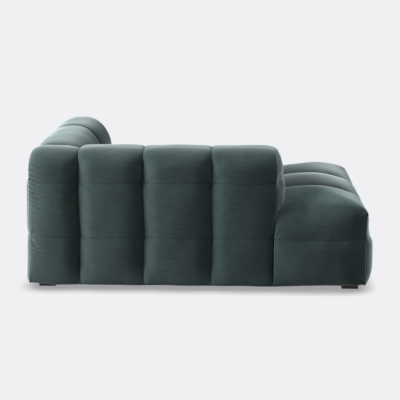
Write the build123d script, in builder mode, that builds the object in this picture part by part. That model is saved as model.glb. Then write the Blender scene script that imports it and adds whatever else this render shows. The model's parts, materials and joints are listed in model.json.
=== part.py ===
import os

from build123d import *

# A one-armed channel-tufted daybed. The arm side faces -X, the back stands at +Y, the floor is at Z = 0.
# All sizes are in millimetres.

# Overall sizes, over the crowns of the padding
overall_width = 1000
overall_height = 700
arm_thickness = 300
back_thickness = 315
seat_height = 470

# Lengths along the arm side, from seam to seam
corner_length = 238
arm_rear_length = 312
arm_middle_length = 328
arm_front_length = 312
seat_reach = 442

# How far the padding stands out past its corner seams
end_crown = 38
side_crown = 25
arm_end_crown = 40

# Heights of the sewn lines and of the lower hem
hem_height = 26
lower_seam_height = 255
upper_seam_height = 515
seat_edge_height = 392
arm_end_step_height = 330

# Shape of one padded channel
groove_depth = 20
groove_width = 28
shoulder_inset = 8
corner_inset = 12
corner_bend = 0.6
dome_inset = 24
dome_face_inset = 62
dome_roll_fade = 240
top_groove_share = 0.5
hem_tuck = 14
seam_tuck = 7
lower_bulge = 9.5
upper_bulge = 7
top_bulge = 4
crest_bulge = 3
inner_bulge = 3
outer_roll = 55
inner_roll = 140
corner_roll = 34
back_start_roll = 145
quarter_sagitta = 0.2929

# Shape of the seat channels
seat_edge_setback = 18
seat_edge_bulge = 6
seat_slope_length = 250
seat_slope_bulge = 17
seat_back_drop = 10
seat_side_drop = 140
seat_roll_width = 180

# Layers of the upholstery
cover_thickness = 5
layer_gap = 0.4
piece_gap = 0.5
end_panel = 6
seat_core_top = 300

# Frame timber
padding_outside = 52
padding_inside = 70
padding_top = 66
arm_end_padding = 24
rail_thickness = 32
rail_height = 120
cross_rail_height = 80
inner_rail_ledge = 24
board = 24
panel = 6
deck_thickness = 9
corner_plate_size = 110
spacer_count = 3
spacer_front_setback = 60
spacer_rear_setback = 175

# Feet
foot_height = 30
foot_width = 80
foot_side_inset = 62
foot_rear_inset = 66
foot_front_inset = 74
foot_slant = 28
foot_chamfer = 2
glide_diameter = 38
glide_height = 3

# Fasteners
bolt_diameter = 8
bolt_head_diameter = 16
bolt_head_height = 6
bolt_reach = 42
bolt_edge = 16
insert_diameter = 12
insert_length = 25
back_bolt_count = 4
hole_play = 0.4
hanger_depth = 22
hanger_reach = 36
tee_flange_diameter = 22
tee_flange_height = 1.6
tee_barrel_diameter = 10.4
screw_diameter = 5
screw_length = 70
screw_head_diameter = 10
screw_head_height = 4
screw_margin = 25
screw_pitch = 40

# Suspension and linings
spring_count = 8
spring_loops = 12
spring_half_width = 24
spring_wire = 4
spring_margin = 70
clip_length = 60
clip_depth = 16
clip_sheet = 2
clip_play = 0.3
felt_thickness = 6
web_count = 5
web_height = 60
web_thickness = 2
web_margin = 70
dust_cover_thickness = 1
dust_cover_play = 2

# Places along the length
overall_length = (
    2 * end_crown + corner_length + arm_rear_length + arm_middle_length + arm_front_length + seat_reach
)
rear_y = overall_length / 2
front_y = -overall_length / 2
corner_seam_y = rear_y - end_crown
rear_seam_y = corner_seam_y - corner_length
middle_seam_y = rear_seam_y - arm_rear_length
front_seam_y = middle_seam_y - arm_middle_length
arm_end_y = front_seam_y - arm_front_length
arm_crown_y = arm_end_y - arm_end_crown
back_face_y = rear_y - back_thickness

# Places across the width
arm_x = -overall_width / 2
open_x = overall_width / 2
arm_face_x = arm_x + arm_thickness
open_seam_x = open_x - side_crown
row_seam_x = (arm_face_x + open_seam_x) / 2

# Faces of the frame
frame_arm_x = arm_x + padding_outside
frame_open_x = open_x - padding_outside
frame_front_y = front_y + padding_outside
frame_rear_y = rear_y - padding_outside
frame_top = overall_height - padding_top
base_top = foot_height + rail_height
arm_frame_x = arm_face_x - padding_inside
arm_frame_y = arm_end_y + arm_end_padding
back_frame_y = back_face_y + padding_inside
inner_rail_x = arm_frame_x + inner_rail_ledge
felt_bottom = base_top + deck_thickness
felt_top = felt_bottom + felt_thickness
crevice_z = felt_top + layer_gap

os.makedirs("parts", exist_ok=True)


def finish(builder, name):
    builder.part.label = name
    export_step(builder.part, f"parts/{name}.step")


def block(x0, x1, y0, y1, z0, z1):
    with BuildPart() as body:
        with Locations(((x0 + x1) / 2, (y0 + y1) / 2, (z0 + z1) / 2)):
            Box(x1 - x0, y1 - y0, z1 - z0)
    return body.part


# A closed outline of lines and arcs. Each point gives its place and how far the next stretch bulges.
def outline_face(plane, points):
    with BuildSketch(plane) as face:
        with BuildLine():
            for (u, v, bulge), (next_u, next_v, _) in zip(points, points[1:] + points[:1]):
                if bulge:
                    SagittaArc((u, v), (next_u, next_v), bulge)
                else:
                    Line((u, v), (next_u, next_v))
        make_face()
    return face.sketch


def lofted(sections):
    with BuildPart() as body:
        loft(sections)
    return body.part


# Section of an arm or back channel: outer side up, over the top, down the seat side.
# Shrink draws every side in, for the hollow of a cover or the pad inside it.
def upright_points(thickness, inset, roll, shrink, bottom):
    outer = inset + shrink
    inner = thickness - inset - shrink
    top = overall_height - crest_bulge - top_groove_share * inset - shrink
    round_out = outer_roll - shrink / 2
    round_in = roll - shrink / 2
    return [
        (outer + hem_tuck, bottom, lower_bulge),
        (outer + seam_tuck, lower_seam_height, upper_bulge),
        (outer + seam_tuck, upper_seam_height, top_bulge),
        (outer, top - round_out, quarter_sagitta * round_out),
        (outer + round_out, top, crest_bulge),
        (inner - seam_tuck - round_in, top, quarter_sagitta * round_in),
        (inner - seam_tuck, top - round_in, inner_bulge),
        (thickness - shrink, seat_height, 0),
        (thickness - shrink, bottom, 0),
    ]


def arm_plane(y):
    return Plane(origin=(arm_x, y, 0), x_dir=(1, 0, 0), z_dir=(0, -1, 0))


def back_plane(x):
    return Plane(origin=(x, rear_y, 0), x_dir=(0, -1, 0), z_dir=(-1, 0, 0))


def seat_plane(x):
    return Plane(origin=(x, front_y, 0), x_dir=(0, 1, 0), z_dir=(1, 0, 0))


# A channel made of runs, each lofted through stations of place, inset and inner roll.
# A station on an end that closes is drawn back by the shrink.
def upright_channel(plane_at, thickness, runs, shrink, bottom):
    with BuildPart() as body:
        for stations in runs:
            sections = []
            for place, inset, roll, draw in stations:
                points = upright_points(thickness, inset, roll, shrink, bottom)
                sections.append(outline_face(plane_at(place + draw * shrink), points))
            add(lofted(sections))
    return body.part


# Stations of a plain channel between two sewn grooves
def channel_stations(start, end, roll):
    step = groove_width if end > start else -groove_width
    return [
        (start, groove_depth, roll, 0),
        (start + step, shoulder_inset, roll, 0),
        ((start + end) / 2, 0, roll, 0),
        (end - step, shoulder_inset, roll, 0),
        (end, groove_depth, roll, 0),
    ]


# Stations that round off the padded end of a channel, from its corner seam to its crown
def dome_stations(seam, crown, roll):
    draw = -1 if crown > seam else 1
    return [
        (seam, corner_inset, roll, 0),
        ((seam + crown) / 2, dome_inset, roll * (1 - dome_inset / dome_roll_fade), draw),
        (crown, dome_face_inset, roll * (1 - dome_face_inset / dome_roll_fade), draw),
    ]


# Stations of the last half of a channel, from its crown to a corner seam
def closing_stations(crown, seam, roll):
    bend = crown + corner_bend * (seam - crown)
    return [
        (crown, 0, roll, 0),
        (bend, corner_bend**2 * corner_inset, roll, 0),
        (seam, corner_inset, roll, 0),
    ]


def seat_points(length, inset, crest, edge, shrink, bottom):
    front = inset + shrink
    return [
        (front + hem_tuck, bottom, lower_bulge),
        (front + seam_tuck, lower_seam_height, seat_edge_bulge),
        (front + seat_edge_setback, edge - shrink, seat_slope_bulge),
        (front + seat_slope_length, crest - shrink, crest_bulge),
        (length, crest - seat_back_drop - shrink, 0),
        (length, bottom, 0),
    ]


def seat_channel(length, stations, shrink, bottom):
    sections = []
    for x, inset, crest, edge, draw in stations:
        points = seat_points(length, inset, crest, edge, shrink, bottom)
        sections.append(outline_face(seat_plane(x + draw * shrink), points))
    return lofted(sections)


seat_crest = seat_height - crest_bulge
seat_groove_crest = seat_crest - top_groove_share * groove_depth
seat_groove_edge = seat_edge_height - groove_depth


def row_groove(x):
    return (x, groove_depth, seat_groove_crest, seat_groove_edge, 0)


def row_shoulder(x):
    return (x, shoulder_inset, seat_crest - shoulder_inset / 2, seat_edge_height - shoulder_inset, 0)


def row_crown(x):
    return (x, 0, seat_crest, seat_edge_height, 0)


# The rolled side of an outer seat row, from its flat face in to its crown
def rolled_side(face_x, inward):
    return [
        (
            face_x + inward * reach * seat_roll_width,
            inset,
            seat_crest - drop * seat_side_drop,
            seat_edge_height - edge_drop * seat_side_drop,
            inward,
        )
        for reach, inset, drop, edge_drop in (
            (0.0, 45, 1.0, 0.66),
            (0.06, 28, 0.68, 0.42),
            (0.2, 14, 0.38, 0.22),
            (0.45, 5, 0.12, 0.07),
        )
    ]


# The four feet: a slanted inner face on the rear pair, a plain block on the front pair
def foot(x0, x1, outline):
    with BuildPart() as body:
        with BuildSketch(Plane.YZ.offset(x0)):
            with BuildLine():
                Polyline(outline, close=True)
            make_face()
        extrude(amount=x1 - x0)
        chamfer(body.edges().filter_by(Axis.Z), foot_chamfer)
    return body.part


foot_columns = {
    "arm_side": (arm_x + foot_side_inset, arm_x + foot_side_inset + foot_width),
    "open_side": (open_x - foot_side_inset - foot_width, open_x - foot_side_inset),
}
foot_rear_y = rear_y - foot_rear_inset
foot_front_y = front_y + foot_front_inset
foot_outlines = {
    "rear": [
        (foot_rear_y, glide_height),
        (foot_rear_y - foot_width, glide_height),
        (foot_rear_y - foot_width - foot_slant, foot_height),
        (foot_rear_y, foot_height),
    ],
    "front": [
        (foot_front_y, glide_height),
        (foot_front_y + foot_width, glide_height),
        (foot_front_y + foot_width, foot_height),
        (foot_front_y, foot_height),
    ],
}
foot_centres = [
    ((x0 + x1) / 2, y)
    for x0, x1 in foot_columns.values()
    for y in (foot_rear_y - foot_width / 2, foot_front_y + foot_width / 2)
]
hanger_bottom = foot_height - hanger_depth

for row, outline in foot_outlines.items():
    for column, (x0, x1) in foot_columns.items():
        with BuildPart() as one_foot:
            add(foot(x0, x1, outline))
            with Locations([(x, y, hanger_bottom) for x, y in foot_centres]):
                Cylinder(
                    bolt_diameter / 2 + hole_play / 2,
                    hanger_depth,
                    align=(Align.CENTER, Align.CENTER, Align.MIN),
                    mode=Mode.SUBTRACT,
                )
        finish(one_foot, f"foot_{row}_{column}")

with BuildPart() as foot_glides:
    with Locations([(x, y, 0) for x, y in foot_centres]):
        Cylinder(glide_diameter / 2, glide_height, align=(Align.CENTER, Align.CENTER, Align.MIN))
finish(foot_glides, "foot_glides")

with BuildPart() as foot_bolts:
    with Locations([(x, y, hanger_bottom) for x, y in foot_centres]):
        Cylinder(bolt_diameter / 2, hanger_depth + hanger_reach, align=(Align.CENTER, Align.CENTER, Align.MIN))
finish(foot_bolts, "foot_bolts")

plate_top = foot_height + board
with BuildPart() as foot_tee_nuts:
    with Locations([(x, y, plate_top) for x, y in foot_centres]):
        Cylinder(tee_flange_diameter / 2, tee_flange_height, align=(Align.CENTER, Align.CENTER, Align.MIN))
        Cylinder(tee_barrel_diameter / 2, board, align=(Align.CENTER, Align.CENTER, Align.MAX))
    with Locations([(x, y, plate_top) for x, y in foot_centres]):
        Cylinder(bolt_diameter / 2 + hole_play / 2, 2 * board + hanger_reach, mode=Mode.SUBTRACT)
finish(foot_tee_nuts, "foot_tee_nuts")

# Places of the frame's bolts and screws
first_spacer_y = arm_frame_y + spacer_front_setback
last_spacer_y = frame_rear_y - spacer_rear_setback
spacer_pitch = (last_spacer_y - first_spacer_y) / (spacer_count - 1)
spacer_ys = [first_spacer_y + i * spacer_pitch for i in range(spacer_count)]
arm_bolt_xs = (frame_arm_x + bolt_edge, arm_frame_x - 2 * bolt_edge)
arm_bolts = [(x, y) for x in arm_bolt_xs for y in spacer_ys]
back_bolt_ys = (back_frame_y + bolt_edge, frame_rear_y - panel - bolt_edge / 2 - bolt_head_diameter / 2)
back_bolt_pitch = (frame_open_x - arm_frame_x) / (back_bolt_count + 1)
back_bolts = [
    (arm_frame_x + (i + 1) * back_bolt_pitch, y) for i in range(back_bolt_count) for y in back_bolt_ys
]
side_rail_xs = (
    frame_arm_x + rail_thickness / 2,
    inner_rail_x - rail_thickness / 2,
    frame_open_x - rail_thickness / 2,
)
screw_zs = (foot_height + screw_margin, foot_height + screw_margin + screw_pitch)
screw_points = [(x, z) for x in side_rail_xs for z in screw_zs]


# The hole that a bolt and its threaded insert need in the timber below
def insert_holes(points):
    with BuildPart() as holes:
        with Locations([(x, y, base_top) for x, y in points]):
            Cylinder(
                insert_diameter / 2 + hole_play / 2,
                insert_length + hole_play,
                align=(Align.CENTER, Align.CENTER, Align.MAX),
            )
            Cylinder(
                bolt_diameter / 2 + hole_play / 2,
                bolt_reach + hole_play,
                align=(Align.CENTER, Align.CENTER, Align.MAX),
            )
    return holes.part


# Screws driven through an end rail into the ends of the side rails. Grow widens them into their holes.
def rail_screws(outer_y, outward, grow):
    with BuildPart() as screws:
        for x, z in screw_points:
            plane = Plane(origin=(x, outer_y, z), x_dir=(1, 0, 0), z_dir=(0, outward, 0))
            with BuildSketch(plane):
                Circle(screw_head_diameter / 2 + grow)
            extrude(amount=-screw_head_height)
            with BuildSketch(plane):
                Circle(screw_diameter / 2 + grow)
            extrude(amount=-screw_length - grow)
    return screws.part


front_screw_holes = rail_screws(frame_front_y, -1, hole_play / 2)
rear_screw_holes = rail_screws(frame_rear_y, 1, hole_play / 2)

# Base frame
with BuildPart() as base_rail_front:
    add(block(frame_arm_x, frame_open_x, frame_front_y, frame_front_y + rail_thickness, foot_height, base_top))
    add(front_screw_holes, mode=Mode.SUBTRACT)
finish(base_rail_front, "base_rail_front")

with BuildPart() as base_rail_rear:
    add(block(frame_arm_x, frame_open_x, frame_rear_y - rail_thickness, frame_rear_y, foot_height, base_top))
    add(rear_screw_holes, mode=Mode.SUBTRACT)
    add(insert_holes(back_bolts), mode=Mode.SUBTRACT)
finish(base_rail_rear, "base_rail_rear")

side_rail_front = frame_front_y + rail_thickness
side_rail_rear = frame_rear_y - rail_thickness
side_rails = {
    "base_rail_arm_side": side_rail_xs[0],
    "base_rail_inner": side_rail_xs[1],
    "base_rail_open_side": side_rail_xs[2],
}
for name, x in side_rails.items():
    with BuildPart() as side_rail:
        half = rail_thickness / 2
        add(block(x - half, x + half, side_rail_front, side_rail_rear, foot_height, base_top))
        add(front_screw_holes, mode=Mode.SUBTRACT)
        add(rear_screw_holes, mode=Mode.SUBTRACT)
        add(insert_holes(arm_bolts), mode=Mode.SUBTRACT)
    finish(side_rail, name)

cross_end_x = frame_open_x - rail_thickness
with BuildPart() as base_cross_rail_front:
    add(
        block(
            inner_rail_x,
            cross_end_x,
            arm_frame_y,
            arm_frame_y + rail_thickness,
            foot_height,
            foot_height + cross_rail_height,
        )
    )
finish(base_cross_rail_front, "base_cross_rail_front")

with BuildPart() as base_cross_rail_rear:
    add(
        block(
            inner_rail_x,
            cross_end_x,
            back_frame_y,
            back_frame_y + rail_thickness,
            foot_height,
            base_top,
        )
    )
    add(insert_holes(back_bolts), mode=Mode.SUBTRACT)
finish(base_cross_rail_rear, "base_cross_rail_rear")

with BuildPart() as base_spacers:
    for y in spacer_ys:
        half = rail_thickness / 2
        spacer_end_x = inner_rail_x - rail_thickness
        add(block(frame_arm_x + rail_thickness, spacer_end_x, y - half, y + half, foot_height, base_top))
    add(insert_holes(arm_bolts), mode=Mode.SUBTRACT)
finish(base_spacers, "base_spacers")

with BuildPart() as base_corner_plates:
    for x, inward_x in ((frame_arm_x + rail_thickness, 1), (cross_end_x, -1)):
        for y, inward_y in ((side_rail_front, 1), (side_rail_rear, -1)):
            far_x = x + inward_x * corner_plate_size
            far_y = y + inward_y * corner_plate_size
            add(block(min(x, far_x), max(x, far_x), min(y, far_y), max(y, far_y), foot_height, plate_top))
    with Locations([(x, y, foot_height) for x, y in foot_centres]):
        Cylinder(tee_barrel_diameter / 2 + hole_play / 2, 4 * board, mode=Mode.SUBTRACT)
finish(base_corner_plates, "base_corner_plates")

with BuildPart() as base_screws:
    add(rail_screws(frame_front_y, -1, 0))
    add(rail_screws(frame_rear_y, 1, 0))
finish(base_screws, "base_screws")

# Arm frame: a box of boards closed by two panels
arm_board_x0 = frame_arm_x + panel
arm_board_x1 = arm_frame_x - panel
sill_top = base_top + board
rib_top = frame_top - board


def bolt_holes(points):
    with BuildPart() as holes:
        with Locations([(x, y, base_top) for x, y in points]):
            Cylinder(bolt_diameter / 2 + hole_play / 2, 3 * board)
    return holes.part


with BuildPart() as arm_sill:
    add(block(arm_board_x0, arm_board_x1, arm_frame_y, frame_rear_y, base_top, sill_top))
    add(bolt_holes(arm_bolts), mode=Mode.SUBTRACT)
finish(arm_sill, "arm_sill")

with BuildPart() as arm_top_board:
    add(block(arm_board_x0, arm_board_x1, arm_frame_y, frame_rear_y, rib_top, frame_top))
finish(arm_top_board, "arm_top_board")

arm_rib_ys = {
    "arm_rib_front": arm_frame_y,
    "arm_rib_middle": (arm_frame_y + frame_rear_y - board) / 2 + 2 * board,
    "arm_rib_rear": frame_rear_y - board,
}
for name, y in arm_rib_ys.items():
    with BuildPart() as arm_rib:
        add(block(arm_board_x0, arm_board_x1, y, y + board, sill_top, rib_top))
    finish(arm_rib, name)

with BuildPart() as arm_panel_outer:
    add(block(frame_arm_x, arm_board_x0, arm_frame_y, frame_rear_y, base_top, frame_top))
finish(arm_panel_outer, "arm_panel_outer")

with BuildPart() as arm_panel_inner:
    add(block(arm_board_x1, arm_frame_x, arm_frame_y, frame_rear_y, base_top, frame_top))
finish(arm_panel_inner, "arm_panel_inner")

# Back frame: the same box, with elastic webbing on the seat side
back_board_y1 = frame_rear_y - panel
with BuildPart() as back_sill:
    add(block(arm_frame_x, frame_open_x, back_frame_y, back_board_y1, base_top, sill_top))
    add(bolt_holes(back_bolts), mode=Mode.SUBTRACT)
finish(back_sill, "back_sill")

with BuildPart() as back_top_board:
    add(block(arm_frame_x, frame_open_x, back_frame_y, back_board_y1, rib_top, frame_top))
finish(back_top_board, "back_top_board")

back_rib_xs = {
    "back_rib_arm_side": arm_frame_x,
    "back_rib_middle": (arm_frame_x + frame_open_x - board) / 2,
    "back_rib_open_side": frame_open_x - board,
}
for name, x in back_rib_xs.items():
    with BuildPart() as back_rib:
        add(block(x, x + board, back_frame_y, back_board_y1, sill_top, rib_top))
    finish(back_rib, name)

with BuildPart() as back_panel_outer:
    add(block(arm_frame_x, frame_open_x, back_board_y1, frame_rear_y, base_top, frame_top))
finish(back_panel_outer, "back_panel_outer")

web_pitch = (frame_top - base_top - 2 * web_margin - web_height) / (web_count - 1)
with BuildPart() as back_webbing:
    for i in range(web_count):
        z = base_top + web_margin + i * web_pitch
        add(block(arm_frame_x, frame_open_x, back_frame_y - web_thickness, back_frame_y, z, z + web_height))
finish(back_webbing, "back_webbing")


# Bolts that hold the arm and back frames down to the base, and the inserts that they run into
def frame_bolts(points):
    with BuildPart() as bolts:
        with Locations([(x, y, sill_top) for x, y in points]):
            Cylinder(bolt_head_diameter / 2, bolt_head_height, align=(Align.CENTER, Align.CENTER, Align.MIN))
            Cylinder(bolt_diameter / 2, board + bolt_reach, align=(Align.CENTER, Align.CENTER, Align.MAX))
    return bolts.part


with BuildPart() as arm_frame_bolts:
    add(frame_bolts(arm_bolts))
finish(arm_frame_bolts, "arm_frame_bolts")

with BuildPart() as back_frame_bolts:
    add(frame_bolts(back_bolts))
finish(back_frame_bolts, "back_frame_bolts")

with BuildPart() as frame_inserts:
    with Locations([(x, y, base_top) for x, y in arm_bolts + back_bolts]):
        Cylinder(insert_diameter / 2, insert_length, align=(Align.CENTER, Align.CENTER, Align.MAX))
        Cylinder(bolt_diameter / 2 + hole_play / 2, 2 * insert_length + board, mode=Mode.SUBTRACT)
finish(frame_inserts, "frame_inserts")

# Seat suspension: sinuous springs from the inner rail to the open-side rail
spring_bottom = base_top + clip_sheet + clip_play
clip_back_x = inner_rail_x - clip_depth - clip_play
spring_start_x = clip_back_x + clip_sheet + clip_play + spring_wire / 2
clip_far_x = cross_end_x + clip_depth + clip_play
spring_end_x = clip_far_x - clip_sheet - clip_play - spring_wire / 2
spring_first_y = frame_front_y + spring_margin
spring_last_y = back_face_y - spring_margin
spring_ys = [
    spring_first_y + i * (spring_last_y - spring_first_y) / (spring_count - 1) for i in range(spring_count)
]
loop_pitch = (spring_end_x - spring_start_x) / spring_loops
loop_radius = 0.45 * min(loop_pitch, 2 * spring_half_width)


def spring_route(y):
    points = [(spring_start_x, y - spring_half_width)]
    for i in range(spring_loops + 1):
        x = spring_start_x + i * loop_pitch
        side = 1 if i % 2 == 0 else -1
        if i > 0:
            points.append((x, y - side * spring_half_width))
        points.append((x, y + side * spring_half_width))
    return points


with BuildPart() as seat_springs:
    for y in spring_ys:
        with BuildSketch(Plane.XY.offset(spring_bottom)):
            with BuildLine() as route:
                FilletPolyline(spring_route(y), radius=loop_radius)
            trace(route.line, spring_wire)
    extrude(amount=spring_wire)
finish(seat_springs, "seat_springs")

# Each clip is a bent steel sheet that hooks over the end of a spring
clip_top = spring_bottom + spring_wire + clip_play + clip_sheet
with BuildPart() as spring_clips:
    for back_x, inward in ((clip_back_x, 1), (clip_far_x, -1)):
        for y in spring_ys:
            with BuildSketch(Plane.XZ.offset(-y - clip_length / 2)):
                with BuildLine():
                    Polyline(
                        (back_x, base_top),
                        (back_x + inward * clip_depth, base_top),
                        (back_x + inward * clip_depth, base_top + clip_sheet),
                        (back_x + inward * clip_sheet, base_top + clip_sheet),
                        (back_x + inward * clip_sheet, clip_top - clip_sheet),
                        (back_x + inward * clip_depth, clip_top - clip_sheet),
                        (back_x + inward * clip_depth, clip_top),
                        (back_x, clip_top),
                        close=True,
                    )
                make_face()
            extrude(amount=clip_length)
finish(spring_clips, "spring_clips")

deck_end_x = clip_back_x - piece_gap
deck_end_y = arm_frame_y - piece_gap
with BuildPart() as extension_deck:
    add(block(frame_arm_x, deck_end_x, frame_front_y, deck_end_y, base_top, felt_bottom))
finish(extension_deck, "extension_deck")


# A layer that covers the whole seat and stops short of the arm and the back
def seat_layer(beside_arm_x, arm_stop_y, rear_stop_y, z0, z1):
    with BuildPart() as layer:
        with BuildSketch(Plane.XY.offset(z0)):
            with BuildLine():
                Polyline(
                    (frame_arm_x, frame_front_y),
                    (frame_open_x, frame_front_y),
                    (frame_open_x, rear_stop_y),
                    (beside_arm_x, rear_stop_y),
                    (beside_arm_x, arm_stop_y),
                    (frame_arm_x, arm_stop_y),
                    close=True,
                )
            make_face()
        extrude(amount=z1 - z0)
    return layer.part


with BuildPart() as seat_felt:
    felt_rear_y = back_frame_y - web_thickness - piece_gap
    add(seat_layer(arm_frame_x + piece_gap, deck_end_y, felt_rear_y, felt_bottom, felt_top))
finish(seat_felt, "seat_felt")

arm_end_panel_y = arm_end_y - end_panel
with BuildPart() as seat_core_foam:
    core_x = arm_face_x + piece_gap
    core_y = back_face_y - piece_gap
    add(seat_layer(core_x, arm_end_panel_y - piece_gap, core_y, felt_top, seat_core_top))
finish(seat_core_foam, "seat_core_foam")

with BuildPart() as dust_cover:
    dust_top = foot_height
    add(
        block(
            frame_arm_x,
            frame_open_x,
            frame_front_y,
            frame_rear_y,
            dust_top - dust_cover_thickness,
            dust_top,
        )
    )
    for x0, x1 in foot_columns.values():
        for y0, y1 in (
            (foot_rear_y - foot_width - foot_slant, foot_rear_y),
            (foot_front_y, foot_front_y + foot_width),
        ):
            play = dust_cover_play
            add(block(x0 - play, x1 + play, y0 - play, y1 + play, 0, board + foot_height), mode=Mode.SUBTRACT)
finish(dust_cover, "dust_cover")

# Upholstery of the arm and the back.
# The frame's space, which every pad and cover keeps clear of
pad_shrink = cover_thickness + layer_gap
pad_bottom = hem_height + layer_gap
open_bottom = hem_height - cover_thickness
reach_x = overall_width
reach_y = overall_length
arm_core = block(
    frame_arm_x - layer_gap,
    arm_frame_x + layer_gap,
    arm_frame_y - layer_gap,
    frame_rear_y + layer_gap,
    0,
    frame_top + layer_gap,
)
arm_base = block(frame_arm_x - layer_gap, reach_x, -reach_y, frame_rear_y + layer_gap, 0, crevice_z)
back_core = block(
    arm_frame_x,
    frame_open_x + layer_gap,
    back_frame_y - web_thickness - layer_gap,
    frame_rear_y + layer_gap,
    0,
    frame_top + layer_gap,
)
back_base = block(-reach_x, frame_open_x + layer_gap, -reach_y, frame_rear_y + layer_gap, 0, crevice_z)
arm_step = block(-reach_x, reach_x, -reach_y, arm_end_panel_y, 0, arm_end_step_height)
pad_step = block(-reach_x, reach_x, -reach_y, arm_end_y, 0, arm_end_step_height)

corner_run = [
    (rear_seam_y, groove_depth, inner_roll, 0),
    (rear_seam_y + groove_width, shoulder_inset, (inner_roll + corner_roll) / 2, 0),
] + closing_stations((rear_seam_y + corner_seam_y) / 2, corner_seam_y, corner_roll)
front_run = channel_stations(front_seam_y, arm_end_y, inner_roll)[:2]
front_run += closing_stations((front_seam_y + arm_end_y) / 2, arm_end_y, inner_roll)
arm_runs = {
    "corner": [corner_run, dome_stations(corner_seam_y, rear_y, corner_roll)],
    "rear": [channel_stations(rear_seam_y, middle_seam_y, inner_roll)],
    "middle": [channel_stations(middle_seam_y, front_seam_y, inner_roll)],
    "front": [front_run],
}
arm_end_run = dome_stations(arm_end_y, arm_crown_y, inner_roll)

for name, runs in arm_runs.items():
    with BuildPart() as arm_cover:
        add(upright_channel(arm_plane, arm_thickness, runs, 0, hem_height))
        add(
            upright_channel(arm_plane, arm_thickness, runs, cover_thickness, open_bottom),
            mode=Mode.SUBTRACT,
        )
        add(arm_base, mode=Mode.SUBTRACT)
        add(back_core, mode=Mode.SUBTRACT)
    finish(arm_cover, f"arm_cover_{name}")

    pad_runs = runs + [arm_end_run] if name == "front" else runs
    with BuildPart() as arm_pad:
        add(upright_channel(arm_plane, arm_thickness, pad_runs, pad_shrink, pad_bottom))
        for space in (arm_core, arm_base, back_core, pad_step):
            add(space, mode=Mode.SUBTRACT)
    finish(arm_pad, f"arm_pad_{name}")

with BuildPart() as arm_cover_end:
    add(upright_channel(arm_plane, arm_thickness, [arm_end_run], 0, hem_height))
    add(
        upright_channel(arm_plane, arm_thickness, [arm_end_run], cover_thickness, open_bottom),
        mode=Mode.SUBTRACT,
    )
    for space in (arm_base, arm_step):
        add(space, mode=Mode.SUBTRACT)
finish(arm_cover_end, "arm_cover_end")

back_arm_side = [
    (arm_face_x, groove_depth, back_start_roll, 0),
    (arm_face_x + groove_width, shoulder_inset, (back_start_roll + inner_roll) / 2, 0),
] + channel_stations(arm_face_x, row_seam_x, inner_roll)[2:]
back_open_side = channel_stations(row_seam_x, open_seam_x, inner_roll)[:2]
back_open_side += closing_stations((row_seam_x + open_seam_x) / 2, open_seam_x, inner_roll)
back_runs = {"arm_side": [back_arm_side], "open_side": [back_open_side]}
back_end_run = dome_stations(open_seam_x, open_x, inner_roll)

for name, runs in back_runs.items():
    with BuildPart() as back_cover:
        add(upright_channel(back_plane, back_thickness, runs, 0, hem_height))
        add(
            upright_channel(back_plane, back_thickness, runs, cover_thickness, open_bottom),
            mode=Mode.SUBTRACT,
        )
        add(back_base, mode=Mode.SUBTRACT)
    finish(back_cover, f"back_cover_{name}")

    pad_runs = runs + [back_end_run] if name == "open_side" else runs
    with BuildPart() as back_pad:
        add(upright_channel(back_plane, back_thickness, pad_runs, pad_shrink, pad_bottom))
        for space in (back_core, back_base):
            add(space, mode=Mode.SUBTRACT)
    finish(back_pad, f"back_pad_{name}")

with BuildPart() as back_cover_end:
    add(upright_channel(back_plane, back_thickness, [back_end_run], 0, hem_height))
    add(
        upright_channel(back_plane, back_thickness, [back_end_run], cover_thickness, open_bottom),
        mode=Mode.SUBTRACT,
    )
    add(back_base, mode=Mode.SUBTRACT)
finish(back_cover_end, "back_cover_end")

# Upholstery of the seat: one row in front of the arm, two that run on to the back
row_step = groove_width
arm_row = rolled_side(arm_x, 1) + [
    row_crown(arm_x + seat_roll_width),
    row_shoulder(arm_face_x - row_step),
    row_groove(arm_face_x),
]
middle_row = [
    row_groove(arm_face_x + piece_gap),
    row_shoulder(arm_face_x + row_step),
    row_crown((arm_face_x + row_seam_x) / 2),
    row_shoulder(row_seam_x - row_step),
    row_groove(row_seam_x),
]
open_row = [
    row_groove(row_seam_x),
    row_shoulder(row_seam_x + row_step),
    row_crown(open_x - seat_roll_width),
] + rolled_side(open_x, -1)[::-1]
seat_rows = {"arm_side": arm_row, "middle": middle_row, "open_side": open_row}

seat_length = back_face_y - piece_gap - front_y
seat_space = block(
    frame_arm_x - layer_gap,
    frame_open_x + layer_gap,
    frame_front_y - layer_gap,
    reach_y,
    0,
    seat_core_top + layer_gap,
)
seat_base = block(
    frame_arm_x - layer_gap,
    frame_open_x + layer_gap,
    frame_front_y - layer_gap,
    reach_y,
    0,
    crevice_z,
)

# The arm and its swelling end, which the row in front of it is cut back from
with BuildPart() as arm_room:
    add(upright_channel(arm_plane, arm_thickness, [arm_end_run], -piece_gap, hem_height))
    add(arm_step, mode=Mode.SUBTRACT)
    add(block(-reach_x, arm_face_x, arm_end_panel_y - piece_gap, reach_y, 0, overall_height))

for name, stations in seat_rows.items():
    with BuildPart() as seat_cover:
        add(seat_channel(seat_length, stations, 0, hem_height))
        add(
            seat_channel(seat_length + cover_thickness, stations, cover_thickness, open_bottom),
            mode=Mode.SUBTRACT,
        )
        add(seat_base, mode=Mode.SUBTRACT)
        if name == "arm_side":
            add(arm_room.part, mode=Mode.SUBTRACT)
    finish(seat_cover, f"seat_cover_{name}")

    with BuildPart() as seat_pad:
        add(seat_channel(seat_length, stations, pad_shrink, pad_bottom))
        add(seat_space, mode=Mode.SUBTRACT)
        if name == "arm_side":
            add(arm_room.part, mode=Mode.SUBTRACT)
    finish(seat_pad, f"seat_pad_{name}")
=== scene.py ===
import json
import math
import bpy
import bmesh
import numpy as np
from mathutils import Matrix, Vector


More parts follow.
